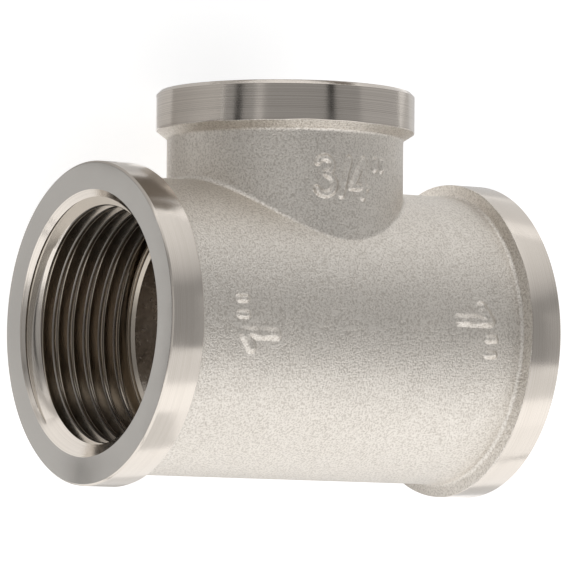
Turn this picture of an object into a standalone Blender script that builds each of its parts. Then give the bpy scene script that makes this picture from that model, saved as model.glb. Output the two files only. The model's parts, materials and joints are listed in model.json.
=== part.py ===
"""Reducing tee for 1 inch pipe with a 3/4 inch branch: one nickel-plated brass forging, machined at its three
ports. It is drawn with the run along X and the branch along Z, then laid down as it comes to rest on a table,
on both run collars and the branch collar. Sizes are in metres."""

import math

import bmesh
import bpy

# The run, from port face to port face along X
RUN_LENGTH = 0.0595
RUN_COLLAR_DIAMETER = 0.0415
RUN_COLLAR_WIDTH = 0.0047
RUN_SHOULDER = 0.0005
RUN_EDGE_BREAK = 0.00025
BARREL_DIAMETER = 0.0382

# The branch, measured along its own axis from the axis of the run
BRANCH_REACH = 0.0314
BRANCH_COLLAR_DIAMETER = 0.0338
BRANCH_COLLAR_WIDTH = 0.0052
BRANCH_SHOULDER = 0.0010
BRANCH_EDGE_BREAK = 0.0005
NECK_DIAMETER = 0.0309

# Cast fillets: round the foot of the neck, and where a collar's shoulder runs into the body
SADDLE_FILLET = 0.0008
FOOT_FILLET = 0.0005

# 1 inch parallel pipe thread in the run: the bore is the thread's minor diameter
RUN_THREAD_MINOR = 0.030291
RUN_THREAD_LENGTH = 0.0152
RUN_MOUTH_DIAMETER = 0.0336
RUN_WATERWAY = 0.0280

# 3/4 inch parallel pipe thread in the branch
BRANCH_THREAD_MINOR = 0.024117
BRANCH_THREAD_LENGTH = 0.0142
BRANCH_MOUTH_DIAMETER = 0.0267
BRANCH_WATERWAY = 0.0220

# Every port's mouth starts with a narrow break on the face, then the countersink that leads the thread in
MOUTH_BREAK = 0.0003
COUNTERSINK_ANGLE = math.radians(45)

# How finely round things are divided, how far a cutter runs past a face, and how deep a fillet's edge is sunk
SIDES = 96
FILLET_STEPS = 4
OVERCUT = 0.001
SINK = 0.00003

NICKEL_COLOUR = (0.66, 0.64, 0.61, 1.0)
NICKEL_ROUGHNESS = 0.3
NICKEL_METALLIC = 1.0


def clear_scene():
    for thing in list(bpy.data.objects):
        bpy.data.objects.remove(thing, do_unlink=True)


def nickel_plate():
    material = bpy.data.materials.new("nickel_plated_brass")
    material.use_nodes = True
    shader = material.node_tree.nodes["Principled BSDF"]
    shader.inputs["Base Color"].default_value = NICKEL_COLOUR
    shader.inputs["Roughness"].default_value = NICKEL_ROUGHNESS
    shader.inputs["Metallic"].default_value = NICKEL_METALLIC
    return material


def loft(name, rings):
    """A closed mesh through rings of SIDES points each, capped with a flat face at both ends."""
    shape = bmesh.new()
    loops = [[shape.verts.new(point) for point in ring] for ring in rings]
    for lower, upper in zip(loops, loops[1:]):
        for side in range(SIDES):
            after = (side + 1) % SIDES
            shape.faces.new((lower[side], lower[after], upper[after], upper[side]))
    shape.faces.new(loops[0])
    shape.faces.new(loops[-1])
    bmesh.ops.recalc_face_normals(shape, faces=shape.faces)
    mesh = bpy.data.meshes.new(name)
    shape.to_mesh(mesh)
    shape.free()
    thing = bpy.data.objects.new(name, mesh)
    bpy.context.scene.collection.objects.link(thing)
    return thing


def turn(side):
    """The cosine and sine of a side's angle round the axis."""
    angle = 2 * math.pi * side / SIDES
    return math.cos(angle), math.sin(angle)


def ring_round_x(station, radius):
    return [(station, radius * turn(side)[0], radius * turn(side)[1]) for side in range(SIDES)]


def ring_round_z(station, radius):
    return [(radius * turn(side)[0], radius * turn(side)[1], station) for side in range(SIDES)]


def foot_arc(station, radius, slope):
    """Profile points of the fillet where a shoulder, falling inwards by the angle slope from the axis, meets the
    body's cylinder. It starts on the shoulder and ends on the cylinder, which runs on towards lower stations."""
    reach = FOOT_FILLET * math.tan(slope / 2)
    centre = (station - reach, radius + FOOT_FILLET)
    angles = [slope * (1 - step / FILLET_STEPS) for step in range(FILLET_STEPS + 1)]
    return [(centre[0] + FOOT_FILLET * math.sin(a), centre[1] - FOOT_FILLET * math.cos(a)) for a in angles]


def collar_profile(face, collar_radius, edge_break, width, shoulder, body_radius):
    """Stations and radii of a machined collar, from its broken outer edge down its cast shoulder to the body."""
    shoulder_end = face - width - shoulder
    slope = math.atan2(collar_radius - body_radius, shoulder)
    return [
        (face, collar_radius - edge_break),
        (face - edge_break, collar_radius),
        (face - width, collar_radius),
        *foot_arc(shoulder_end, body_radius, slope),
    ]


def run_body():
    """The outside of the run: the barrel and a machined collar at each end."""
    half = collar_profile(
        RUN_LENGTH / 2,
        RUN_COLLAR_DIAMETER / 2,
        RUN_EDGE_BREAK,
        RUN_COLLAR_WIDTH,
        RUN_SHOULDER,
        BARREL_DIAMETER / 2,
    )
    profile = half + [(-station, radius) for station, radius in reversed(half)]
    return loft("tee_body", [ring_round_x(*point) for point in profile])


def saddle_rings():
    """Rings of the fillet between neck and barrel. A ball of the fillet's radius rolls round the neck, touching
    it and the barrel, and each ring joins one step of its arc from all round. The barrel's edge is sunk a hair,
    so that the two skins cross cleanly."""
    barrel = BARREL_DIAMETER / 2 - SINK
    out = NECK_DIAMETER / 2 + SADDLE_FILLET
    rings = [[] for _ in range(FILLET_STEPS + 1)]
    for side in range(SIDES):
        cosine, sine = turn(side)
        centre_y = out * sine
        centre_z = math.sqrt((barrel + SADDLE_FILLET) ** 2 - centre_y**2)
        to_neck = (-cosine, -sine, 0.0)
        to_run = (0.0, -centre_y / (barrel + SADDLE_FILLET), -centre_z / (barrel + SADDLE_FILLET))
        between = math.acos(sum(a * b for a, b in zip(to_neck, to_run)))
        for step, ring in enumerate(rings):
            share = step / FILLET_STEPS
            a = math.sin((1 - share) * between) / math.sin(between)
            b = math.sin(share * between) / math.sin(between)
            ball = [SADDLE_FILLET * (a * p + b * q) for p, q in zip(to_neck, to_run)]
            ring.append((out * cosine + ball[0], centre_y + ball[1], centre_z + ball[2]))
    return rings


def branch_body():
    """The outside of the branch: its collar, the neck and the fillet at the neck's foot, ending inside the run."""
    profile = collar_profile(
        BRANCH_REACH,
        BRANCH_COLLAR_DIAMETER / 2,
        BRANCH_EDGE_BREAK,
        BRANCH_COLLAR_WIDTH,
        BRANCH_SHOULDER,
        NECK_DIAMETER / 2,
    )
    inside = ring_round_z(0.0, BRANCH_WATERWAY / 2)
    return loft("branch_body", [ring_round_z(*point) for point in profile] + saddle_rings() + [inside])


def socket_profile(face, mouth_radius, minor_radius, thread_length, waterway_radius):
    """Stations and radii of a threaded port's bore, from outside its face down to the waterway."""
    break_radius = mouth_radius + MOUTH_BREAK
    countersink = (mouth_radius - minor_radius) / math.tan(COUNTERSINK_ANGLE)
    return [
        (face + OVERCUT, break_radius + OVERCUT),
        (face - MOUTH_BREAK, mouth_radius),
        (face - MOUTH_BREAK - countersink, minor_radius),
        (face - thread_length, minor_radius),
        (face - thread_length, waterway_radius),
    ]


def run_bore():
    """The cutter for both run sockets and the waterway between them."""
    half = socket_profile(
        RUN_LENGTH / 2,
        RUN_MOUTH_DIAMETER / 2,
        RUN_THREAD_MINOR / 2,
        RUN_THREAD_LENGTH,
        RUN_WATERWAY / 2,
    )
    profile = half + [(-station, radius) for station, radius in reversed(half)]
    return loft("run_bore", [ring_round_x(*point) for point in profile])


def branch_bore():
    """The cutter for the branch socket and its waterway, which ends on the axis of the run."""
    profile = socket_profile(
        BRANCH_REACH,
        BRANCH_MOUTH_DIAMETER / 2,
        BRANCH_THREAD_MINOR / 2,
        BRANCH_THREAD_LENGTH,
        BRANCH_WATERWAY / 2,
    )
    return loft("branch_bore", [ring_round_z(*point) for point in profile + [(0.0, BRANCH_WATERWAY / 2)]])


def combine(body, other, operation):
    """Joins the other shape to the body or cuts it away, and removes the other."""
    other.hide_render = True
    other.display_type = "WIRE"
    boolean = body.modifiers.new(other.name, "BOOLEAN")
    boolean.operation = operation
    boolean.solver = "EXACT"
    boolean.object = other
    bpy.context.view_layer.objects.active = body
    bpy.ops.object.modifier_apply(modifier=boolean.name)
    bpy.data.objects.remove(other, do_unlink=True)


def resting_lean():
    """The angle by which the branch tips down from level until its collar touches what the run lies on."""
    edge_station = BRANCH_REACH - BRANCH_EDGE_BREAK
    edge_radius = BRANCH_COLLAR_DIAMETER / 2
    reach = math.hypot(edge_station, edge_radius)
    return math.asin(RUN_COLLAR_DIAMETER / 2 / reach) - math.atan2(edge_radius, edge_station)


def lay_down(tee):
    """Turns the tee about its run until the branch rests on the ground, and centres it there."""
    lean = resting_lean()
    face_edge = BRANCH_COLLAR_DIAMETER / 2 - BRANCH_EDGE_BREAK
    furthest = BRANCH_REACH * math.cos(lean) + face_edge * math.sin(lean)
    nearest = -RUN_COLLAR_DIAMETER / 2
    tee.rotation_euler = (-math.pi / 2 - lean, 0.0, 0.0)
    tee.location = (0.0, -(furthest + nearest) / 2, RUN_COLLAR_DIAMETER / 2)


def build_tee():
    clear_scene()
    tee = run_body()
    combine(tee, branch_body(), "UNION")
    combine(tee, run_bore(), "DIFFERENCE")
    combine(tee, branch_bore(), "DIFFERENCE")
    tee.data.shade_smooth()
    tee.data.set_sharp_from_angle(angle=math.radians(30))
    tee.data.materials.append(nickel_plate())
    lay_down(tee)


build_tee()
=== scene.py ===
"""Dresses the reducing tee for 1 inch pipe with a 3/4 inch branch: its forged and machined outside, its cut
threads and waterways, the raised size marks and the nickel plating, lying on a pale floor in soft light.
It is drawn upright, with the run along X and the branch up Z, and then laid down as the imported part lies."""

import json
import math

import bpy
from mathutils import Matrix, Vector


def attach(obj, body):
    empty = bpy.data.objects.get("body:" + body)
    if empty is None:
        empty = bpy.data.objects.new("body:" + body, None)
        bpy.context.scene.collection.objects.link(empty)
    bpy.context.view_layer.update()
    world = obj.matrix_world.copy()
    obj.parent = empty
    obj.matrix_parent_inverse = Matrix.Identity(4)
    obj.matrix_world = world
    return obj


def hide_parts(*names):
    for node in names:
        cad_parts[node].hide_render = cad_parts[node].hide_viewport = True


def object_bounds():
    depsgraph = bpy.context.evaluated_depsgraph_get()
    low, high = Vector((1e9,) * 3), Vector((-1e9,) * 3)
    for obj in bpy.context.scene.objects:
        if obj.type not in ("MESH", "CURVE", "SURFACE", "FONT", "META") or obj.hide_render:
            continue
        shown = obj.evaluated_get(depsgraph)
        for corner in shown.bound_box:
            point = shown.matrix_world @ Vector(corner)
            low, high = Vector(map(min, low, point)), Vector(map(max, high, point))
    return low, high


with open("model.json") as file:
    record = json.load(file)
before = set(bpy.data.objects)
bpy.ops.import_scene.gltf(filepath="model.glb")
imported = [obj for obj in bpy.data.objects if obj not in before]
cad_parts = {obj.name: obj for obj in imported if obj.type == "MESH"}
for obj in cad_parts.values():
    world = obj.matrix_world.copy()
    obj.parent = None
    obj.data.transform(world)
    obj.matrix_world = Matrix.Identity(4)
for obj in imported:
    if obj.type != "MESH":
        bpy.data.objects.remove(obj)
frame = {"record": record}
CAD_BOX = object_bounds()
bpy.ops.object.select_all(action="DESELECT")

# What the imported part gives: the run's length and collar, and how far the branch leans down to the floor
CAD_LOW = CAD_BOX[0]
CAD_HIGH = CAD_BOX[1]
HALF_RUN = (CAD_HIGH.x - CAD_LOW.x) / 2
RUN_COLLAR = (CAD_HIGH.z - CAD_LOW.z) / 2
MOUNTS = {mount["name"]: mount for mount in frame["record"]["mounts"]}
LEAN = math.asin(-MOUNTS["branch_port"]["axis"][2])
TIPPED = Matrix.Rotation(-math.pi / 2 - LEAN, 4, "X")
LAID = Matrix.Translation((0, CAD_LOW.y + RUN_COLLAR, RUN_COLLAR)) @ TIPPED

# Outside of the run, in metres: radii and widths
RUN_COLLAR_WIDTH = 0.0047
RUN_SHOULDER = 0.0005
RUN_EDGE = 0.00025
BARREL = 0.0191

# Outside of the branch: its face, collar and neck, where the neck's level rings end, and where it is closed
# inside the run
BRANCH_REACH = 0.0314
BRANCH_COLLAR = 0.0169
BRANCH_COLLAR_WIDTH = 0.0052
BRANCH_SHOULDER = 0.0010
BRANCH_EDGE = 0.0005
NECK = 0.01545
NECK_END = 0.0204
NECK_INSIDE = 0.0130

# Fillets and broken edges, and how far the saddle sinks into the barrel so that the two join cleanly
SADDLE_FILLET = 0.0008
FOOT_FILLET = 0.0006
CAST_EDGE = 0.00015
KEEN_EDGE = 0.00006
SADDLE_SINK = 0.00001

# How far the edge between turned and forged metal wanders, and its waves: share, number round, and start
CAST_WANDER = 0.00014
CAST_WAVES = ((0.5, 3, 0.7), (0.3, 7, 2.1), (0.2, 17, 4.0))

# Parallel pipe threads, 11 and 14 turns to the inch: largest and smallest radius and the way a turn climbs
RUN_THREAD = {"root": 0.0166245, "crest": 0.0151455, "climb": 0.0254 / 11}
BRANCH_THREAD = {"root": 0.0132205, "crest": 0.0120585, "climb": 0.0254 / 14}

# Ports: face, mouth's radius, depth of the full thread and of the stop, and the waterway's radius
RUN_PORT = {
    "thread": RUN_THREAD,
    "face": HALF_RUN,
    "mouth": 0.0168,
    "depth": 0.0149,
    "stop": 0.0152,
    "waterway": 0.0140,
}
BRANCH_PORT = {
    "thread": BRANCH_THREAD,
    "face": BRANCH_REACH,
    "mouth": 0.01335,
    "depth": 0.0139,
    "stop": 0.0142,
    "waterway": 0.0110,
}

# What the ports share: the step at the mouth's edge, the stop's broken edge, and how much tighter than the
# thread's crests the bore past the thread is
MOUTH_STEP = 0.0003
STOP_EDGE = 0.0004
STOP_TIGHTER = 0.0001

# The thread's form: its flanks' angle, its flat crests and the rounding of its roots as shares of the climb,
# the crests' broken edges, where along the climb it starts, and how many turns its plug has to spare
FLANK = math.radians(27.5)
CREST_FLAT = 0.27
ROOT_ROUND = 0.137329
CREST_EDGE = 0.00013
THREAD_PHASE = 1.585
SPARE_TURNS = 2

# How finely round things are divided, how far cutters reach past what they cut, how near two points count as
# one, and up to which angle faces are shaded smooth
OUTSIDE_STEPS = 240
BORE_STEPS = 180
THREAD_STEPS = 144
ARC_STEPS = 5
LONGEST_STRETCH = 0.0025
OVERCUT = 0.001
SEAM = 1e-7
SMOOTH_ANGLE = math.radians(32)

# The faces' finishes, in the order of the material slots
CAST = 0
TURNED_RUN = 1
TURNED_BRANCH = 2
THREADED = 3
CREST_EDGES = 4
WATERWAY = 5
FACED = 6

# Raised size marks: a stroke's height, the share of its reach that slopes, how far its pad goes past it,
# under the wall and down into it, and how finely the pad and the arcs are divided
MARK_HEIGHT = 0.00042
MARK_SLOPE = 0.88
MARK_MARGIN = 0.2
MARK_SINK = 0.00002
MARK_PAD = 0.00040
MARK_GRID = 0.00009
MARK_ARC_STEPS = 12

# How the marks are worn: the share of the height that comes and goes, and its waves in radians a metre
MARK_WEAR = 0.22
WEAR_ACROSS = 2600
WEAR_UP = 2100
WEAR_START = 1.0
WEAR_MIDDLE = 0.5

# The figure 1 beside each run port, drawn on a flat sheet: its height, half a stroke's width, the flag's end
# and the inch strokes. Then where its foot lies, along the run and round it from the top
ONE_TALL = 0.0048
ONE_REACH = 0.00105
ONE_FLAG = (-0.0018, 0.0036)
ONE_INCHES = (0.0023, 0.0043)
INCH_TALL = 0.0010
INCH_REACH = 0.00072
ONE_INCH_TOP = 0.0055
LEFT_MARK_FOOT = -0.0133
LEFT_MARK_TURN = math.radians(95)
RIGHT_MARK_FOOT = 0.0147
RIGHT_MARK_TURN = math.radians(86)

# The figures 3/4 on the neck, drawn on a flat sheet: arcs in degrees, and corners from the middle of the neck
FIGURE_TALL = 0.0048
FIGURE_REACH = 0.00068
NECK_MARK_FOOT = 0.0168
THREE_TOP = (-0.0037, 0.0038)
THREE_TOP_RADIUS = 0.0010
THREE_TOP_SWEEP = (155, -75)
THREE_FOOT = (-0.0036, 0.0014)
THREE_FOOT_RADIUS = 0.0013
THREE_FOOT_SWEEP = (75, -150)
SLASH = ((-0.0013, 0.0001), (-0.0002, 0.0048))
FOUR_STEM = 0.0021
FOUR_CORNER = (0.0002, 0.0012)
FOUR_BAR_END = (0.0027, 0.0012)
NECK_INCHES = (0.0042, 0.0056)

# Nickel's colours: forged, turned, cut thread, crest edges, faced ends and waterway, with what darkens them
FORGED_PALE = (0.79, 0.745, 0.685, 1)
FORGED_DULL = (0.59, 0.545, 0.49, 1)
NICKEL_PALE = (0.70, 0.645, 0.585, 1)
RUN_LINED = (0.645, 0.59, 0.53, 1)
BRANCH_LINED = (0.56, 0.51, 0.46, 1)
# The cut thread is darker partly in its own tone and partly as painted shade inside the ports
NICKEL_CUT_AND_SHADE = (0.46, 0.41, 0.35, 1)
# The crest edges are darker than the cut thread as painted shade inside the ports
NICKEL_CREST_PAINTED_SHADE = (0.30, 0.275, 0.25, 1)
# The faced ends' grey is painted shade, darker than their own nickel
NICKEL_FACED_PAINTED_SHADE = (0.345, 0.328, 0.306, 1)
NICKEL_DULL = (0.45, 0.405, 0.36, 1)
NICKEL_DEEP = (0.36, 0.32, 0.28, 1)

# How rough each finish is, from its glossiest to its dullest spots. The crest edges are even
FORGED_ROUGH = (0.38, 0.46)
TURNED_ROUGH = (0.13, 0.2)
THREADED_ROUGH = (0.19, 0.23)
CREST_ROUGH = (0.35, 0.35)
FACED_ROUGH = (0.2, 0.26)
WATERWAY_ROUGH = (0.2, 0.28)

# Patterns in the plating, in metres: how wide their features are and how deep they go
SWELL_SIZE = 0.0030
SWELL_DEPTH = 0.00007
GRAIN_SIZE = 0.00024
GRAIN_DEPTH = 0.00008
FINE_SIZE = GRAIN_SIZE / 2.4
FINE_DEPTH = GRAIN_DEPTH / 2.5
LINE_SIZE = 0.00012
RUN_LINE_DEPTH = 0.0000050
BRANCH_LINE_DEPTH = 0.0000090
HAZE_SIZE = 0.0040
HAZE_DEPTH = 0.000012
DRAG_SIZE = 0.0012
DRAG_DEPTH = 0.000004
CREST_LINE_SIZE = 0.00011
CREST_LINE_DEPTH = 0.000008
FACE_HAZE_SIZE = 0.0030
FACE_HAZE_DEPTH = 0.000008
WATERWAY_GRAIN_SIZE = 0.0006
WATERWAY_GRAIN_DEPTH = 0.00002

# Spans of a noise's values: where most of them lie, and where hollows and tool lines turn from dark to pale
MOST = (0.3, 0.7)
HOLLOWS = (0.36, 0.56)

# How a lathe measures the run and the branch: along one axis, and out across the other two
RUN_LATHE = ((1, 0, 0), (0, 1, 1))
BRANCH_LATHE = ((0, 0, 1), (1, 1, 0))

# The room's tone, and the front softboxes: name, angle from overhead, height and brightness in a mirror
ROOM = 0.35
FRONT_SOFTBOXES = (
    ("softbox_front_high", math.radians(23.5), 0.443, 0.55),
    ("softbox_front_middle", math.radians(47), 0.388, 1.00),
    ("softbox_front_low", math.radians(72.5), 0.515, 0.92),
)
FRONT_DISTANCE = 1.0
FRONT_WIDE = 3.2

# The softboxes behind the tee and to its right: place, sides and brightness, and the spread of the back one
BACK_PLACE = (0, 1, 0.82)
BACK_SIDES = (2.4, 1.7)
BACK_BRIGHT = 0.87
BACK_SPREAD = math.radians(124)
RIGHT_PLACE = (1, 0.1, 0.65)
RIGHT_SIDES = (1.3, 1.0)
RIGHT_BRIGHT = 0.13

# Floor: its size, sides, tone, roughness and lift to white
FLOOR_RADIUS = 3.0
FLOOR_SIDES = 96
FLOOR_TONE = 0.66
FLOOR_ROUGH = 0.8
FLOOR_LIFT = 0.715

# The cards' tones, and the lifts that make some of them glow brighter: painted highlights, as no card is a
# lamp
PALE_CARD = (0.90, 0.90, 0.90, 1)
GREY_CARD = (0.78, 0.77, 0.76, 1)
BROWN_CARD = (0.27, 0.235, 0.20, 1)
DARK_STRIP = (0.22, 0.205, 0.185, 1)
DARK_CARD = (0.08, 0.07, 0.065, 1)
BLACK_CARD = (0.02, 0.02, 0.02, 1)
PALE_LIFT = 0.20
MIDDLE_LIFT = 0.10
GREY_LIFT = 0.07

# Cards that lie on the floor: name, tone, lift, and the corners that they lie between
# Only the metal mirrors them, so each paints a darker or brighter patch of floor into its reflections
CARD_RISE = 0.0004
FLOOR_CARDS = (
    ("grey_card_left", GREY_CARD, 0, (-1.0, 0.015), (-0.0245, 0.25)),
    ("grey_card_neck", GREY_CARD, 0, (-0.030, 0.006), (-0.015, 0.0185)),
    ("pale_card_neck", PALE_CARD, PALE_LIFT, (-0.0245, 0.0185), (-0.0125, 0.07)),
    ("pale_card_behind", PALE_CARD, PALE_LIFT, (-0.0125, 0.023), (-0.002, 0.038)),
    ("pale_card_middle", PALE_CARD, MIDDLE_LIFT, (0.032, 0.008), (0.085, 0.036)),
    ("grey_card_right", GREY_CARD, 0, (0.085, 0.008), (1.0, 0.045)),
    ("pale_card_right", PALE_CARD, PALE_LIFT, (0.045, 0.040), (1.0, 0.15)),
    ("pale_card_front", PALE_CARD, PALE_LIFT, (-0.029, -0.056), (0.042, -0.038)),
    ("pale_card_corner", PALE_CARD, GREY_LIFT, (0.042, -0.064), (0.066, -0.040)),
    ("grey_card_front", GREY_CARD, 0, (-0.029, -0.038), (0.042, -0.018)),
    ("dark_card_left", DARK_CARD, 0, (-1.0, -0.05), (-0.064, 0.012)),
    ("dark_strip_left", DARK_STRIP, 0, (-0.0443, -0.1), (-0.0419, -0.0245)),
)
# The brown card paints a dark reflection from behind the tee into the collars and barrel, in part standing for
# shade between collar and neck
BROWN_CARD_LOW = (-0.055, 0.034)
BROWN_CARD_HIGH = (-0.001, 0.9)
BROWN_CARD_TURN = math.radians(-29)

# The card that stands in front of the tee: its middle, sides and lift, which makes it glow as a painted
# highlight
STAND = (0.012, -0.1, 0.060)
STAND_WIDTH = 0.044
STAND_TALL = 0.060
STAND_LIFT = 0.88

# Narrow cards that hang round the tee: name, lift, and the way to them. The pale one is black with a lift, a
# painted glow
STREAK_DISTANCE = 0.5
STREAK_WIDTH = 0.054
STREAK_LENGTH = 0.4
HUNG_CARDS = (
    ("black_card_side", 0, (-0.95, 0.14, 0.29)),
    ("pale_card_side", 0.60, (-0.80, 0.19, 0.57)),
    ("black_card_top", 0, (0.13, 0.10, 0.99)),
)

# Camera: turned and tipped from the front of the upright tee, as the photograph sees it
CAMERA_TURN = math.radians(32.8683)
CAMERA_TIP = math.radians(-4.2451)
CAMERA_ROLL = math.radians(0.4787)
CAMERA_DISTANCE = 0.6967
CAMERA_ASIDE = 0.0002
CAMERA_RAISE = 0.00625
CAMERA_LENS = 337.6
CAMERA_SENSOR = 36.0
CAMERA_NEAR = 0.01
CAMERA_FAR = 20.0


def select_only(piece):
    """Makes one piece active and selected, and nothing else."""
    bpy.ops.object.select_all(action="DESELECT")
    piece.select_set(True)
    bpy.context.view_layer.objects.active = piece


def rounded(corners):
    """The points of an outline of corners (station, radius, rounding), each turned into an arc where it has a
    rounding, with long straight stretches divided."""
    points = []
    for place, (station, radius, rounding) in enumerate(corners):
        corner = Vector((station, radius))
        if not rounding:
            points.append(corner)
            continue
        back = (Vector(corners[place - 1][:2]) - corner).normalized()
        ahead = (Vector(corners[place + 1][:2]) - corner).normalized()
        half = back.angle(ahead) / 2
        centre = corner + (back + ahead).normalized() * (rounding / math.sin(half))
        start = (corner + back * (rounding / math.tan(half)) - centre).normalized()
        end = (corner + ahead * (rounding / math.tan(half)) - centre).normalized()
        for step in range(ARC_STEPS + 1):
            points.append(centre + start.slerp(end, step / ARC_STEPS) * rounding)
    return divided(points)


def divided(points):
    """The same outline with no stretch longer than LONGEST_STRETCH."""
    fine = [points[0]]
    for before, after in zip(points, points[1:]):
        parts = math.ceil((after - before).length / LONGEST_STRETCH)
        fine += [before.lerp(after, part / parts) for part in range(1, parts + 1)]
    return fine


def drawn(name, points):
    """An outline drawn as by hand: one vertex, extruded from point to point, with stations up Z and radii
    along X."""
    bpy.ops.mesh.primitive_plane_add(size=OVERCUT)
    piece = bpy.context.object
    piece.name = name
    bpy.ops.object.mode_set(mode="EDIT")
    bpy.ops.mesh.select_all(action="SELECT")
    bpy.ops.mesh.merge(type="CENTER")
    bpy.ops.transform.translate(value=(points[0][1], 0, points[0][0]))
    for before, after in zip(points, points[1:]):
        step = (after[1] - before[1], 0, after[0] - before[0])
        bpy.ops.mesh.extrude_vertices_move(TRANSFORM_OT_translate={"value": step})
    return piece


def screwed(piece, steps, climb=0.0, turns=1):
    """Turns a drawn outline round Z, climbing by so much a turn, and leaves it in edit mode with its seams
    closed."""
    bpy.ops.object.mode_set(mode="OBJECT")
    screw = piece.modifiers.new("turns", "SCREW")
    screw.axis = "Z"
    screw.angle = 2 * math.pi
    screw.screw_offset = climb
    screw.iterations = turns
    screw.steps = steps
    screw.render_steps = steps
    screw.use_merge_vertices = True
    screw.merge_threshold = SEAM
    select_only(piece)
    bpy.ops.object.modifier_apply(modifier=screw.name)
    bpy.ops.object.mode_set(mode="EDIT")
    bpy.ops.mesh.select_all(action="SELECT")
    bpy.ops.mesh.remove_doubles(threshold=SEAM)


def closed(piece):
    """Points a closed piece's faces outwards and leaves edit mode."""
    bpy.ops.mesh.select_all(action="SELECT")
    bpy.ops.mesh.normals_make_consistent(inside=False)
    bpy.ops.object.mode_set(mode="OBJECT")
    return piece


def turned(name, corners, steps):
    """A solid turned round Z from an outline that starts and ends on the axis."""
    piece = drawn(name, rounded(corners))
    screwed(piece, steps)
    return closed(piece)


def along_run(piece, port=1):
    """Turns a piece that was drawn up Z so that it points along the run: to the right port, or with -1 to the
    left."""
    piece.data.transform(Matrix.Rotation(port * math.pi / 2, 4, "Y"))
    return piece


def finished(piece, finish_of):
    """Gives each face the finish that finish_of names for its centre."""
    for slot in range(FACED + 1):
        piece.data.materials.append(None)
    for face in piece.data.polygons:
        face.material_index = finish_of(face.center)
    return piece


def combine(body, other, operation):
    """Joins the other piece to the body or cuts it away, and removes the other."""
    select_only(body)
    boolean = body.modifiers.new(other.name, "BOOLEAN")
    boolean.operation = operation
    boolean.solver = "EXACT"
    boolean.object = other
    bpy.ops.object.modifier_apply(modifier=boolean.name)
    bpy.data.objects.remove(other, do_unlink=True)


def wander(angle):
    """How far the edge between turned and forged metal wanders along the axis at an angle round it."""
    return CAST_WANDER * sum(share * math.sin(number * angle + start) for share, number, start in CAST_WAVES)


def collar_corners(face, collar, edge, width, shoulder, body):
    """Corners of a collar: its face, broken edge, turned rim and forged shoulder down to the body."""
    return [
        (face, 0.0, 0),
        (face, collar - edge, KEEN_EDGE),
        (face - edge, collar, KEEN_EDGE),
        (face - width, collar, CAST_EDGE),
        (face - width - shoulder, body, FOOT_FILLET),
    ]


def run_outside():
    """The barrel with a collar at each end, its turned faces marked."""
    half = collar_corners(HALF_RUN, RUN_COLLAR, RUN_EDGE, RUN_COLLAR_WIDTH, RUN_SHOULDER, BARREL)
    mirrored = [(-station, radius, rounding) for station, radius, rounding in reversed(half)]
    piece = turned("threaded_tee", half + mirrored, OUTSIDE_STEPS)
    rim_end = HALF_RUN - RUN_COLLAR_WIDTH
    wandering_edge(piece, rim_end, RUN_COLLAR)
    along_run(piece)
    face_start = HALF_RUN - KEEN_EDGE / 4
    return finished(piece, lambda centre: collar_finish(abs(centre.x), face_start, rim_end, TURNED_RUN))


def collar_finish(station, face_start, rim_end, rim_finish):
    """The finish of a collar's faces by their station: faced end, turned rim or forged metal."""
    if station > face_start:
        return FACED
    return rim_finish if station > rim_end else CAST


def wandering_edge(piece, station, rim):
    """Moves the rim's inner edge along the axis a little, as the forged shoulder was never quite true."""
    for vertex in piece.data.vertices:
        radius = math.hypot(vertex.co.x, vertex.co.y)
        if abs(abs(vertex.co.z) - station) < 2 * CAST_EDGE and radius > rim - 2 * CAST_EDGE:
            vertex.co.z += wander(math.atan2(vertex.co.y, vertex.co.x)) * math.copysign(1, vertex.co.z)


def saddle_place(angle, share):
    """A point of the fillet between neck and barrel. A ball rolls round the neck and touches both, and share
    says how far down the ball's arc the point lies."""
    barrel = BARREL - SADDLE_SINK
    out = NECK + SADDLE_FILLET
    centre_y = out * math.sin(angle)
    centre_z = math.sqrt((barrel + SADDLE_FILLET) ** 2 - centre_y**2)
    centre = Vector((out * math.cos(angle), centre_y, centre_z))
    to_neck = Vector((-math.cos(angle), -math.sin(angle), 0))
    to_barrel = Vector((0, -centre_y, -centre_z)).normalized()
    return centre + to_neck.slerp(to_barrel, share) * SADDLE_FILLET


def open_rim(piece, height):
    """Selects the lowest open ring of a piece in edit mode, by its height."""
    bpy.ops.mesh.select_all(action="DESELECT")
    bpy.ops.object.mode_set(mode="OBJECT")
    for vertex in piece.data.vertices:
        vertex.select = abs(vertex.co.z - height) < KEEN_EDGE
    bpy.ops.object.mode_set(mode="EDIT")


def next_ring(piece, place_of):
    """Extrudes the selected ring once and puts each new vertex where place_of says for its angle."""
    bpy.ops.mesh.extrude_region_move(TRANSFORM_OT_translate={"value": (0, 0, 0)})
    bpy.ops.object.mode_set(mode="OBJECT")
    for vertex in piece.data.vertices:
        if vertex.select:
            vertex.co = place_of(math.atan2(vertex.co.y, vertex.co.x))
    bpy.ops.object.mode_set(mode="EDIT")


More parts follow.
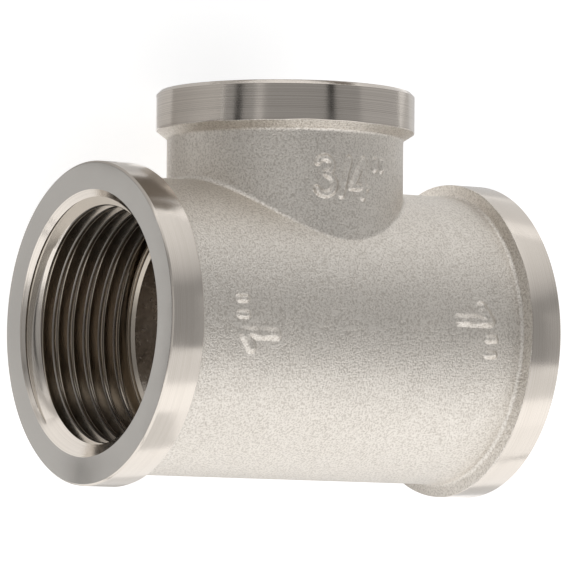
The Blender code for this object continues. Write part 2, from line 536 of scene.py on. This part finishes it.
def branch_outside():
    """The branch's collar and neck, with the saddle fillet at its foot, closed inside the run."""
    corners = collar_corners(
        BRANCH_REACH, BRANCH_COLLAR, BRANCH_EDGE, BRANCH_COLLAR_WIDTH, BRANCH_SHOULDER, NECK
    )
    piece = drawn("branch_outside", rounded(corners + [(NECK_END, NECK, 0)]))
    screwed(piece, OUTSIDE_STEPS)
    open_rim(piece, NECK_END)
    for step in range(1, ARC_STEPS + 1):
        share = step / ARC_STEPS
        next_ring(piece, lambda angle: neck_place(angle, share))
    for step in range(1, ARC_STEPS + 2):
        share = step / (ARC_STEPS + 1)
        next_ring(piece, lambda angle: saddle_place(angle, share))
    next_ring(piece, lambda angle: Vector((math.cos(angle), math.sin(angle), 0)) * NECK_INSIDE)
    bpy.ops.mesh.edge_face_add()
    closed(piece)
    rim_end = BRANCH_REACH - BRANCH_COLLAR_WIDTH
    wandering_edge(piece, rim_end, BRANCH_COLLAR)
    face_start = BRANCH_REACH - KEEN_EDGE / 4
    return finished(piece, lambda centre: collar_finish(centre.z, face_start, rim_end, TURNED_BRANCH))


def neck_place(angle, share):
    """A point of the neck between its last level ring and the top of the saddle fillet."""
    level = Vector((NECK * math.cos(angle), NECK * math.sin(angle), NECK_END))
    return level.lerp(saddle_place(angle, 0), share)


def thread_outline(thread):
    """One turn of the thread's outline, from one crest to the next: flat crests with broken edges, straight
    flanks and a rounded root. Stations run from 0 to the climb of one turn."""
    climb = thread["climb"]
    root_round = ROOT_ROUND * climb
    flat = CREST_FLAT * climb
    middle = climb / 2
    centre = thread["root"] - root_round
    crest = thread["crest"]
    edge_end = Vector((CREST_EDGE * math.sin(FLANK), CREST_EDGE * math.cos(FLANK)))
    points = [Vector((0, crest)), Vector((flat / 2 - CREST_EDGE, crest))]
    points.append(Vector((flat / 2, crest)) + edge_end)
    spread = math.pi / 2 - FLANK
    for step in range(ARC_STEPS + 1):
        angle = spread * (2 * step / ARC_STEPS - 1)
        points.append(Vector((middle + root_round * math.sin(angle), centre + root_round * math.cos(angle))))
    points.append(Vector((climb - flat / 2 - edge_end.x, crest + edge_end.y)))
    points += [Vector((climb - flat / 2 + CREST_EDGE, crest)), Vector((climb, crest))]
    return points


def thread_plug(name, port):
    """The thread as a plug that cuts it: one turn's outline screwed up the axis past the port's face, and cut
    flat outside the face and at the thread's end."""
    thread = port["thread"]
    face = port["face"]
    depth = port["depth"]
    piece = drawn(name, thread_outline(thread))
    turns = math.ceil((depth + 2 * OVERCUT) / thread["climb"]) + SPARE_TURNS
    screwed(piece, THREAD_STEPS, thread["climb"], turns)
    start = face - depth - THREAD_PHASE * thread["climb"]
    bpy.ops.transform.translate(value=(0, 0, start))
    for height, outside in ((face + OVERCUT, True), (face - depth, False)):
        bpy.ops.mesh.select_all(action="SELECT")
        bpy.ops.mesh.bisect(
            plane_co=(0, 0, height),
            plane_no=(0, 0, 1),
            use_fill=True,
            clear_outer=outside,
            clear_inner=not outside,
            threshold=SEAM,
        )
    closed(piece)
    return finished(piece, lambda centre: thread_finish(math.hypot(centre.x, centre.y) - thread["crest"]))


def thread_finish(above):
    """The finish of a thread's faces by how far out from its crests they lie."""
    return CREST_EDGES if CREST_EDGE / 5 < above < CREST_EDGE else THREADED


def mouth_cutter(name, port, turned_finish):
    """The countersink that leads the thread in, with the keen step at the face."""
    face = port["face"]
    mouth = port["mouth"]
    crest = port["thread"]["crest"]
    depth = MOUTH_STEP + mouth - crest
    corners = [
        (face + OVERCUT, 0, 0),
        (face + OVERCUT, mouth + MOUTH_STEP + OVERCUT, 0),
        (face - MOUTH_STEP, mouth, KEEN_EDGE),
        (face - depth - OVERCUT, crest - OVERCUT, 0),
        (face - depth - OVERCUT, 0, 0),
    ]
    piece = turned(name, corners, BORE_STEPS)
    return finished(piece, lambda centre: turned_finish)


def bore_corners(port):
    """Corners of a port's plain bore, a little tighter than the thread's crests: from inside the thread, past
    the stop with its broken edge, to the waterway."""
    bore = port["thread"]["crest"] - STOP_TIGHTER
    stop = port["face"] - port["stop"]
    return [
        (stop + 2 * OVERCUT, 0, 0),
        (stop + 2 * OVERCUT, bore, 0),
        (stop, bore, STOP_TIGHTER),
        (stop, port["waterway"] + STOP_EDGE, 0),
        (stop - STOP_EDGE, port["waterway"], 0),
    ]


def bored(name, corners, waterway):
    """A turned cutter for plain bores, with the forged waterway's finish where it is narrowest."""
    piece = turned(name, corners, BORE_STEPS)
    return finished(piece, lambda centre: WATERWAY if math.hypot(centre.x, centre.y) < waterway else THREADED)


def cut_bores(body):
    """Cuts the plain bores and the waterways, which meet in the middle."""
    half = bore_corners(RUN_PORT)
    mirrored = [(-station, radius, rounding) for station, radius, rounding in reversed(half)]
    combine(body, along_run(bored("run_bore", half + mirrored, RUN_PORT["waterway"])), "DIFFERENCE")
    corners = bore_corners(BRANCH_PORT) + [(0, BRANCH_PORT["waterway"], 0), (0, 0, 0)]
    combine(body, bored("branch_bore", corners, BRANCH_PORT["waterway"]), "DIFFERENCE")


def cut_port(body, name, port, side):
    """Cuts one port's thread and mouth. side is 1 or -1 for the run's right or left end, 0 for the branch."""
    turned_finish = TURNED_RUN if side else TURNED_BRANCH
    plug = thread_plug(name + "_thread", port)
    mouth = mouth_cutter(name + "_mouth", port, turned_finish)
    for cutter in (plug, mouth):
        if side:
            along_run(cutter, side)
        combine(body, cutter, "DIFFERENCE")


def smooth(piece):
    """Shades a piece smooth, with its keen edges kept."""
    select_only(piece)
    bpy.ops.object.shade_smooth_by_angle(angle=SMOOTH_ANGLE)


def build_tee():
    """The whole tee as one closed solid, laid down in the frame."""
    tee = run_outside()
    combine(tee, branch_outside(), "UNION")
    cut_bores(tee)
    cut_port(tee, "right_port", RUN_PORT, 1)
    cut_port(tee, "left_port", RUN_PORT, -1)
    cut_port(tee, "branch_port", BRANCH_PORT, 0)
    tee.data.transform(LAID)
    smooth(tee)
    return tee


def place_camera():
    """The camera at the photograph's angle to the upright tee, laid down with it."""
    back = Vector(
        (
            -math.sin(CAMERA_TURN) * math.cos(CAMERA_TIP),
            -math.cos(CAMERA_TURN) * math.cos(CAMERA_TIP),
            math.sin(CAMERA_TIP),
        )
    )
    level = (-back).cross(Vector((0, 0, 1))).normalized()
    plumb = level.cross(-back)
    right = level * math.cos(CAMERA_ROLL) + plumb * math.sin(CAMERA_ROLL)
    up = plumb * math.cos(CAMERA_ROLL) - level * math.sin(CAMERA_ROLL)
    place = back * CAMERA_DISTANCE + right * CAMERA_ASIDE + up * CAMERA_RAISE
    axes = Matrix((right, up, back)).transposed().to_4x4()
    bpy.ops.object.camera_add()
    camera = bpy.context.object
    camera.name = "camera"
    camera.matrix_world = LAID @ Matrix.Translation(place) @ axes
    camera.data.lens = CAMERA_LENS
    camera.data.sensor_width = CAMERA_SENSOR
    camera.data.clip_start = CAMERA_NEAR
    camera.data.clip_end = CAMERA_FAR
    bpy.context.scene.camera = camera


def arc(middle, radius, first, last):
    """Points of an arc on a mark's sheet, from one angle to another in degrees."""
    points = []
    for step in range(MARK_ARC_STEPS + 1):
        angle = math.radians(first + (last - first) * step / MARK_ARC_STEPS)
        points.append(Vector((middle[0] + radius * math.cos(angle), middle[1] + radius * math.sin(angle))))
    return points


def stroke(*points):
    """A straight or bent stroke on a mark's sheet."""
    return [Vector(point) for point in points]


def inch_stroke(side, top):
    """One of the two short strokes of the sign for inches."""
    return stroke((side, top - INCH_TALL), (side, top))


def inch_mark_strokes():
    """The figure 1 and the sign for inches, as strokes on a flat sheet with the foot of the 1 at (0, 0)."""
    return [
        (ONE_REACH, stroke((0, 0), (0, ONE_TALL))),
        (ONE_REACH, stroke((0, ONE_TALL), ONE_FLAG)),
        *[(INCH_REACH, inch_stroke(side, ONE_INCH_TOP)) for side in ONE_INCHES],
    ]


def three_quarter_strokes():
    """The figures 3/4 and the sign for inches, with the sheet's zero on the middle of the neck's front."""
    three = arc(THREE_TOP, THREE_TOP_RADIUS, *THREE_TOP_SWEEP)
    three += arc(THREE_FOOT, THREE_FOOT_RADIUS, *THREE_FOOT_SWEEP)
    four = stroke((FOUR_STEM, 0), (FOUR_STEM, FIGURE_TALL), FOUR_CORNER, FOUR_BAR_END)
    inches = [(INCH_REACH, inch_stroke(side, FIGURE_TALL)) for side in NECK_INCHES]
    return [(FIGURE_REACH, points) for points in (three, stroke(*SLASH), four)] + inches


def stroke_share(place, strokes):
    """How deep a place on the sheet lies in the nearest stroke: 1 on its middle line, 0 on its edge, and less
    than 0 outside."""
    deepest = -1.0
    for reach, points in strokes:
        for before, after in zip(points, points[1:]):
            along = after - before
            share = max(0.0, min(1.0, (place - before).dot(along) / along.length_squared))
            distance = (place - before - along * share).length
            deepest = max(deepest, (reach - distance) / (reach * MARK_SLOPE))
    return deepest


def mark_height(share, place):
    """A raised stroke's height over the wall: a rounded top, worn unevenly, that falls off softly to just
    under the wall."""
    rise = max(0.0, min(1.0, share))
    wear = math.sin(WEAR_ACROSS * place.x + WEAR_START) * math.sin(WEAR_UP * place.y) - WEAR_MIDDLE
    return MARK_HEIGHT * (1 + MARK_WEAR * wear) * rise * rise * (3 - 2 * rise) - MARK_SINK


def mark_top(name, strokes):
    """The upper side of a mark on its flat sheet, left in edit mode: a fine grid, raised into strokes and cut
    off round them."""
    across = [point.x for reach, points in strokes for point in points]
    tall = [point.y for reach, points in strokes for point in points]
    low = Vector((min(across) - ONE_REACH, min(tall) - ONE_REACH))
    high = Vector((max(across) + ONE_REACH, max(tall) + ONE_REACH))
    size = high - low
    bpy.ops.mesh.primitive_grid_add(
        x_subdivisions=round(size.x / MARK_GRID), y_subdivisions=round(size.y / MARK_GRID), size=1
    )
    piece = bpy.context.object
    piece.name = name
    select_only(piece)
    bpy.ops.object.mode_set(mode="EDIT")
    bpy.ops.mesh.select_all(action="DESELECT")
    bpy.ops.object.mode_set(mode="OBJECT")
    for vertex in piece.data.vertices:
        place = low + Vector(((vertex.co.x + 0.5) * size.x, (vertex.co.y + 0.5) * size.y))
        share = stroke_share(place, strokes)
        vertex.co = (place.x, place.y, mark_height(share, place))
        vertex.select = share < -MARK_MARGIN
    bpy.ops.object.mode_set(mode="EDIT")
    bpy.ops.mesh.delete(type="VERT")
    return piece


def raised_mark(name, strokes, wrapped):
    """Strokes raised on a pad that is wrapped on the tee's wall. wrapped puts a place of the sheet there."""
    piece = mark_top(name, strokes)
    bpy.ops.mesh.select_all(action="SELECT")
    bpy.ops.mesh.extrude_region_move(TRANSFORM_OT_translate={"value": (0, 0, -MARK_PAD)})
    bpy.ops.object.mode_set(mode="OBJECT")
    for vertex in piece.data.vertices:
        if vertex.select:
            vertex.co.z = -MARK_PAD
    for vertex in piece.data.vertices:
        vertex.co = wrapped(*vertex.co)
    bpy.ops.object.mode_set(mode="EDIT")
    closed(piece)
    piece.data.transform(LAID)
    smooth(piece)
    return piece


def on_neck(side, up, height):
    """A place of a sheet wrapped on the neck's front, upright."""
    angle = side / NECK
    radius = NECK + height
    return Vector((radius * math.sin(angle), -radius * math.cos(angle), NECK_MARK_FOOT + up))


def on_barrel(side, up, height, end):
    """A place of a sheet wrapped on the barrel's front, with the top of the figures towards one port."""
    foot = RIGHT_MARK_FOOT if end > 0 else LEFT_MARK_FOOT
    angle = (RIGHT_MARK_TURN if end > 0 else LEFT_MARK_TURN) + end * side / BARREL
    radius = BARREL + height
    return Vector((foot + end * up, -radius * math.sin(angle), radius * math.cos(angle)))


def build_marks():
    """The three raised size marks, one on the neck and one beside each port of the run."""
    return [
        raised_mark("raised_mark_branch", three_quarter_strokes(), on_neck),
        raised_mark("raised_mark_left", inch_mark_strokes(), lambda *place: on_barrel(*place, -1)),
        raised_mark("raised_mark_right", inch_mark_strokes(), lambda *place: on_barrel(*place, 1)),
    ]


class Finish:
    """A nickel finish under construction: its material, and the nodes that read the upright tee's own places.
    Its colour and middle roughness show wherever no pattern takes over."""

    def __init__(self, name, colour, rough):
        self.colour = colour
        self.rough = rough
        self.material = bpy.data.materials.new(name)
        self.material.use_nodes = True
        self.nodes = self.material.node_tree.nodes
        self.links = self.material.node_tree.links
        self.shader = self.nodes["Principled BSDF"]
        self.shader.inputs["Base Color"].default_value = colour
        self.shader.inputs["Roughness"].default_value = sum(rough) / 2
        self.shader.inputs["Metallic"].default_value = 1.0
        self.height = None
        place = self.nodes.new("ShaderNodeTexCoord")
        upright = self.nodes.new("ShaderNodeMapping")
        upright.inputs["Location"].default_value = LAID.inverted().translation
        upright.inputs["Rotation"].default_value = LAID.inverted().to_euler()
        self.links.new(place.outputs["Object"], upright.inputs["Vector"])
        self.place = upright.outputs["Vector"]

    def noise(self, place, size, detail=2.0, distortion=0.0):
        """Noise with features of about the size given, in metres."""
        node = self.nodes.new("ShaderNodeTexNoise")
        node.inputs["Scale"].default_value = 1 / size
        node.inputs["Detail"].default_value = detail
        node.inputs["Distortion"].default_value = distortion
        self.links.new(place, node.inputs["Vector"])
        return node.outputs["Fac"]

    def ranged(self, value, span, onto):
        """A value brought from one span to another."""
        node = self.nodes.new("ShaderNodeMapRange")
        for name, number in zip(("From Min", "From Max", "To Min", "To Max"), (*span, *onto)):
            node.inputs[name].default_value = number
        self.links.new(value, node.inputs["Value"])
        return node.outputs["Result"]

    def darkened(self, value, dark, span):
        """Blends the finish's colour into a darker one, as the value goes down through the span."""
        share = self.ranged(value, span, (0, 1))
        node = self.nodes.new("ShaderNodeMix")
        node.data_type = "RGBA"
        node.inputs["A"].default_value = dark
        node.inputs["B"].default_value = self.colour
        self.links.new(share, node.inputs["Factor"])
        self.links.new(node.outputs["Result"], self.shader.inputs["Base Color"])

    def roughened(self, value):
        """Lets the roughness follow a value through the finish's own range."""
        self.links.new(self.ranged(value, MOST, self.rough), self.shader.inputs["Roughness"])

    def bump(self, value, depth):
        """Raises and sinks the surface by a value, on top of the bumps already there. depth is in metres."""
        node = self.nodes.new("ShaderNodeBump")
        node.inputs["Distance"].default_value = depth
        self.links.new(value, node.inputs["Height"])
        if self.height:
            self.links.new(self.height, node.inputs["Normal"])
        self.height = node.outputs["Normal"]
        self.links.new(self.height, self.shader.inputs["Normal"])

    def lathe_place(self, along, across):
        """Places measured as a lathe does: along the axis, and out from it across the other two."""
        straight = self.nodes.new("ShaderNodeVectorMath")
        straight.operation = "DOT_PRODUCT"
        straight.inputs[1].default_value = along
        flat = self.nodes.new("ShaderNodeVectorMath")
        flat.operation = "MULTIPLY"
        flat.inputs[1].default_value = across
        out = self.nodes.new("ShaderNodeVectorMath")
        out.operation = "LENGTH"
        both = self.nodes.new("ShaderNodeCombineXYZ")
        self.links.new(self.place, straight.inputs[0])
        self.links.new(self.place, flat.inputs[0])
        self.links.new(flat.outputs["Vector"], out.inputs[0])
        self.links.new(straight.outputs["Value"], both.inputs["X"])
        self.links.new(out.outputs["Value"], both.inputs["Y"])
        return both.outputs["Vector"]


def forged_nickel():
    """Plated over a shot-blasted forging: a fine even grain with darker hollows, on a slight swell."""
    finish = Finish("forged_nickel", FORGED_PALE, FORGED_ROUGH)
    swell = finish.noise(finish.place, SWELL_SIZE, detail=1.0)
    grain = finish.noise(finish.place, GRAIN_SIZE, detail=1.5, distortion=0.3)
    fine = finish.noise(finish.place, FINE_SIZE, detail=1.0)
    finish.bump(swell, SWELL_DEPTH)
    finish.bump(grain, GRAIN_DEPTH)
    finish.bump(fine, FINE_DEPTH)
    finish.darkened(grain, FORGED_DULL, HOLLOWS)
    finish.roughened(swell)
    return finish.material


def turned_nickel(name, lathe, line_depth, lined):
    """Plated over turned metal: bright, with fine tool lines round the axis, in relief and in the colour."""
    finish = Finish(name, NICKEL_PALE, TURNED_ROUGH)
    lines = finish.noise(finish.lathe_place(*lathe), LINE_SIZE, detail=1.5)
    haze = finish.noise(finish.place, HAZE_SIZE)
    finish.bump(lines, line_depth)
    finish.bump(haze, HAZE_DEPTH)
    finish.darkened(lines, lined, HOLLOWS)
    finish.roughened(haze)
    return finish.material


def threaded_nickel():
    """Plated over cut thread: darker than the outside, partly its own tone and partly painted shade, and
    fairly glossy, with faint marks of the tap.
    """
    finish = Finish("threaded_nickel", NICKEL_CUT_AND_SHADE, THREADED_ROUGH)
    drag = finish.noise(finish.place, DRAG_SIZE, detail=1.0, distortion=0.6)
    finish.bump(drag, DRAG_DEPTH)
    finish.roughened(drag)
    return finish.material


def crest_nickel():
    """The broken edges of the thread's crests: satin, so that they catch the light without glaring, and
    darkened as painted shade.
    """
    finish = Finish("crest_nickel", NICKEL_CREST_PAINTED_SHADE, CREST_ROUGH)
    finish.bump(finish.noise(finish.lathe_place(*RUN_LATHE), CREST_LINE_SIZE), CREST_LINE_DEPTH)
    return finish.material


def faced_nickel_painted_shade():
    """The faced ends of the ports: a flat satin grey, which is painted shade on the same nickel as the rims.
    """
    finish = Finish("faced_nickel_painted_shade", NICKEL_FACED_PAINTED_SHADE, FACED_ROUGH)
    haze = finish.noise(finish.place, FACE_HAZE_SIZE, detail=3.0)
    finish.bump(haze, FACE_HAZE_DEPTH)
    finish.roughened(haze)
    return finish.material


def waterway_nickel():
    """The waterway: darker, and uneven in tone."""
    finish = Finish("waterway_nickel", NICKEL_DULL, WATERWAY_ROUGH)
    grain = finish.noise(finish.place, WATERWAY_GRAIN_SIZE, distortion=0.4)
    finish.bump(grain, WATERWAY_GRAIN_DEPTH)
    finish.darkened(grain, NICKEL_DEEP, MOST)
    finish.roughened(grain)
    return finish.material


def dress(tee, marks):
    """Puts the finishes on the tee, in the order of the slots, and on its marks."""
    forged = forged_nickel()
    finishes = [
        forged,
        turned_nickel("turned_run_nickel", RUN_LATHE, RUN_LINE_DEPTH, RUN_LINED),
        turned_nickel("turned_branch_nickel", BRANCH_LATHE, BRANCH_LINE_DEPTH, BRANCH_LINED),
        threaded_nickel(),
        crest_nickel(),
        waterway_nickel(),
        faced_nickel_painted_shade(),
    ]
    for slot, finish in enumerate(finishes):
        tee.data.materials[slot] = finish
    for mark in marks:
        mark.data.materials.append(forged)


def make_floor():
    """A pale floor that keeps the tee's shadow. A lift makes it nearly white for the camera and in what metal
    or glass shows of it, and lights nothing else."""
    bpy.ops.mesh.primitive_circle_add(vertices=FLOOR_SIDES, radius=FLOOR_RADIUS, fill_type="NGON")
    floor = bpy.context.object
    floor.name = "floor"
    material = bpy.data.materials.new("pale_floor")
    material.use_nodes = True
    nodes = material.node_tree.nodes
    links = material.node_tree.links
    shader = nodes["Principled BSDF"]
    shader.inputs["Base Color"].default_value = (FLOOR_TONE, FLOOR_TONE, FLOOR_TONE, 1)
    shader.inputs["Roughness"].default_value = FLOOR_ROUGH
    shader.inputs["Emission Color"].default_value = (1, 1, 1, 1)
    seen = nodes.new("ShaderNodeLightPath")
    first = nodes.new("ShaderNodeMath")
    first.operation = "MAXIMUM"
    second = nodes.new("ShaderNodeMath")
    second.operation = "MAXIMUM"
    lift = nodes.new("ShaderNodeMath")
    lift.operation = "MULTIPLY"
    lift.inputs[1].default_value = FLOOR_LIFT
    links.new(seen.outputs["Is Camera Ray"], first.inputs[0])
    links.new(seen.outputs["Is Glossy Ray"], first.inputs[1])
    links.new(first.outputs["Value"], second.inputs[0])
    links.new(seen.outputs["Is Transmission Ray"], second.inputs[1])
    links.new(second.outputs["Value"], lift.inputs[0])
    links.new(lift.outputs["Value"], shader.inputs["Emission Strength"])
    floor.data.materials.append(material)


def softbox(name, middle, facing, wide, tall, brightness, spread=math.pi):
    """A softbox that the camera doesn't see. middle is its place, facing its turns round X and Y from looking
    straight down, wide and tall its sides, brightness what a mirror would show of its middle, and spread how
    far its honeycomb lets the light out to the sides."""
    bpy.ops.object.light_add(type="AREA")
    light = bpy.context.object
    light.name = name
    light.data.shape = "RECTANGLE"
    light.data.size = wide
    light.data.size_y = tall
    light.data.spread = spread
    light.data.energy = math.pi * brightness * wide * tall
    if spread < math.pi:
        light.data.energy *= 1 - (spread / 2) / math.tan(spread / 2)
    light.rotation_euler = (*facing, 0)
    light.location = middle
    light.visible_camera = False


# Each card paints a reflection into the plating, and its lift is a painted glow, as no card is a lamp
def card(name, tone, wide, tall, placed, lift):
    """A matt card that only bright metal shows, as a studio sets such cards round it. placed puts it in the
    room, and lift is how much brighter it shows than the light on it makes it."""
    bpy.ops.mesh.primitive_plane_add(size=1)
    piece = bpy.context.object
    piece.name = name
    piece.data.transform(Matrix.Diagonal((wide, tall, 1, 1)))
    piece.data.transform(placed)
    material = bpy.data.materials.new(name)
    material.use_nodes = True
    shader = material.node_tree.nodes["Principled BSDF"]
    shader.inputs["Base Color"].default_value = tone
    shader.inputs["Roughness"].default_value = 1.0
    shader.inputs["Specular IOR Level"].default_value = 0.0
    shader.inputs["Emission Color"].default_value = (1, 1, 1, 1)
    shader.inputs["Emission Strength"].default_value = lift
    piece.data.materials.append(material)
    piece.visible_camera = False
    piece.visible_diffuse = False
    return piece


def floor_card(name, tone, lift, low, high, turn=0.0):
    """A card that lies on the floor between two corners, turned round the room's upright middle line."""
    middle = Vector(((low[0] + high[0]) / 2, (low[1] + high[1]) / 2, CARD_RISE))
    placed = Matrix.Rotation(turn, 4, "Z") @ Matrix.Translation(middle)
    card(name, tone, high[0] - low[0], high[1] - low[1], placed, lift).visible_shadow = False


def standing_card(name, lift):
    """A small card that stands in front of the tee, where the left collar's lower rim mirrors it as a painted
    highlight: black, but glowing by its lift.
    """
    placed = Matrix.Translation(STAND) @ Matrix.Rotation(math.pi / 2, 4, "X")
    card(name, BLACK_CARD, STAND_WIDTH, STAND_TALL, placed, lift).visible_shadow = False


def hung_card(name, lift, way):
    """A narrow card that hangs some way off in one direction and faces the tee. The branch collar mirrors it
    as a streak."""
    place = Vector(way).normalized() * STREAK_DISTANCE
    placed = Matrix.Translation(place) @ Matrix.Rotation(math.atan2(place.x, place.z), 4, "Y")
    card(name, BLACK_CARD, STREAK_WIDTH, STREAK_LENGTH, placed, lift)


def make_cards():
    """All the cards that the plating mirrors."""
    for name, tone, lift, low, high in FLOOR_CARDS:
        floor_card(name, tone, lift, low, high)
    floor_card("brown_card_back", BROWN_CARD, 0, BROWN_CARD_LOW, BROWN_CARD_HIGH, BROWN_CARD_TURN)
    standing_card("glowing_card_stand", STAND_LIFT)
    for name, lift, way in HUNG_CARDS:
        hung_card(name, lift, way)


def make_lights():
    """A dim even room, three softboxes above one another in front, one behind the tee and a weak one at its
    right."""
    world = bpy.data.worlds.new("studio")
    bpy.context.scene.world = world
    world.use_nodes = True
    world.node_tree.nodes["Background"].inputs["Color"].default_value = (ROOM, ROOM, ROOM, 1)
    for name, aim, tall, brightness in FRONT_SOFTBOXES:
        place = Vector((0, -math.sin(aim), math.cos(aim))) * FRONT_DISTANCE
        softbox(name, place, (aim, 0), FRONT_WIDE, tall, brightness)
    softbox("softbox_back", BACK_PLACE, (-math.pi / 2, 0), *BACK_SIDES, BACK_BRIGHT, BACK_SPREAD)
    softbox("softbox_right", RIGHT_PLACE, (0, math.pi / 2), *RIGHT_SIDES, RIGHT_BRIGHT)


tee = build_tee()
marks = build_marks()
dress(tee, marks)
for piece in [tee, *marks]:
    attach(piece, "root")
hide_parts("tee_body")
place_camera()
make_floor()
make_lights()
make_cards()
bpy.context.scene.view_settings.view_transform = "Standard"
